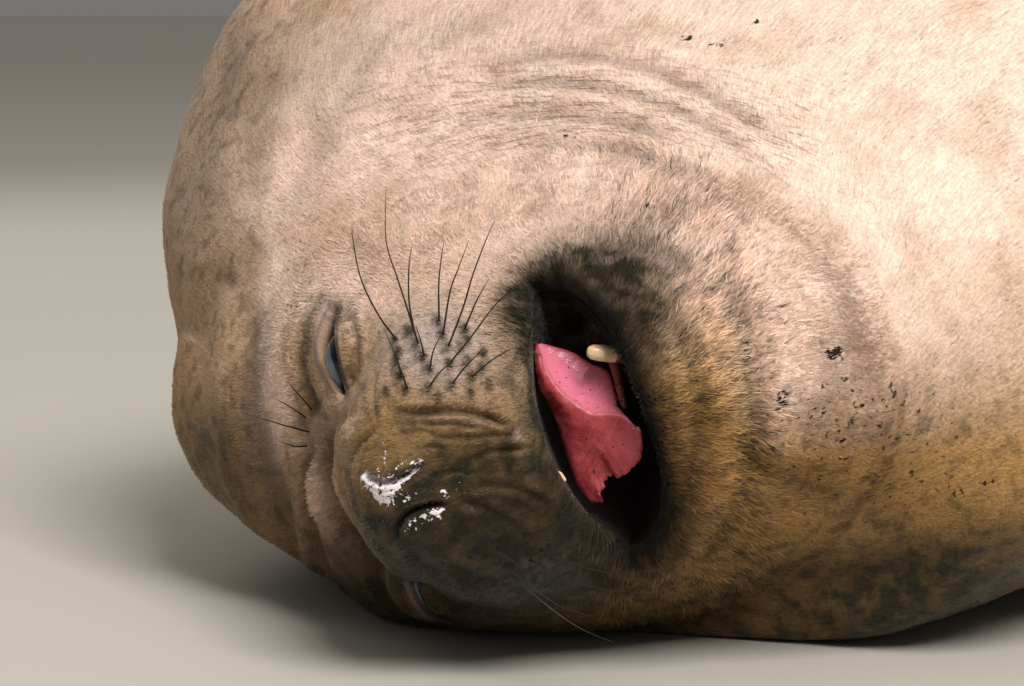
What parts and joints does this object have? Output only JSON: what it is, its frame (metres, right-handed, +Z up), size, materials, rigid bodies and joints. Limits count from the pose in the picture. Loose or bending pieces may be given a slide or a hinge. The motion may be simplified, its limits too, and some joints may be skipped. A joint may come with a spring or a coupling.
{
  "type": "elephant seal",
  "caption": "Still life-size elephant seal lying on its right side with its mouth open, fore flippers at rest and hind flippers trailing.",
  "frame": {"origin": "middle of the model's box, at floor level", "axes": "+Y runs from the head to the hind flippers, +X towards the belly, +Z up; the seal's left side is uppermost"},
  "size_m": [0.9529, 2.7231, 0.5697],
  "materials": {
    "fur": "short, matt, flat-lying fur, tan with pale and dark marks",
    "face_fur": "short fur, darker and wetter round the mouth",
    "flipper_skin": "short dark fur over bare, creased skin",
    "eye": "wet, glossy, nearly black with a blue cast",
    "tongue": "wet pink flesh with a fine grain",
    "tooth": "worn ivory, half gloss"
  },
  "bodies": {
    "root": {"head": "face_fur", "lower_jaw": "face_fur", "left_eye": "eye", "right_eye": "eye", "neck": "fur", "chest": "fur", "belly": "fur", "hips": "fur", "tail": "fur", "tongue": "tongue", "lower_canine": "tooth", "upper_canine": "tooth", "left_foreflipper": "flipper_skin", "right_foreflipper": "flipper_skin", "left_hindflipper": "flipper_skin", "right_hindflipper": "flipper_skin"}
  },
  "joints": []
}
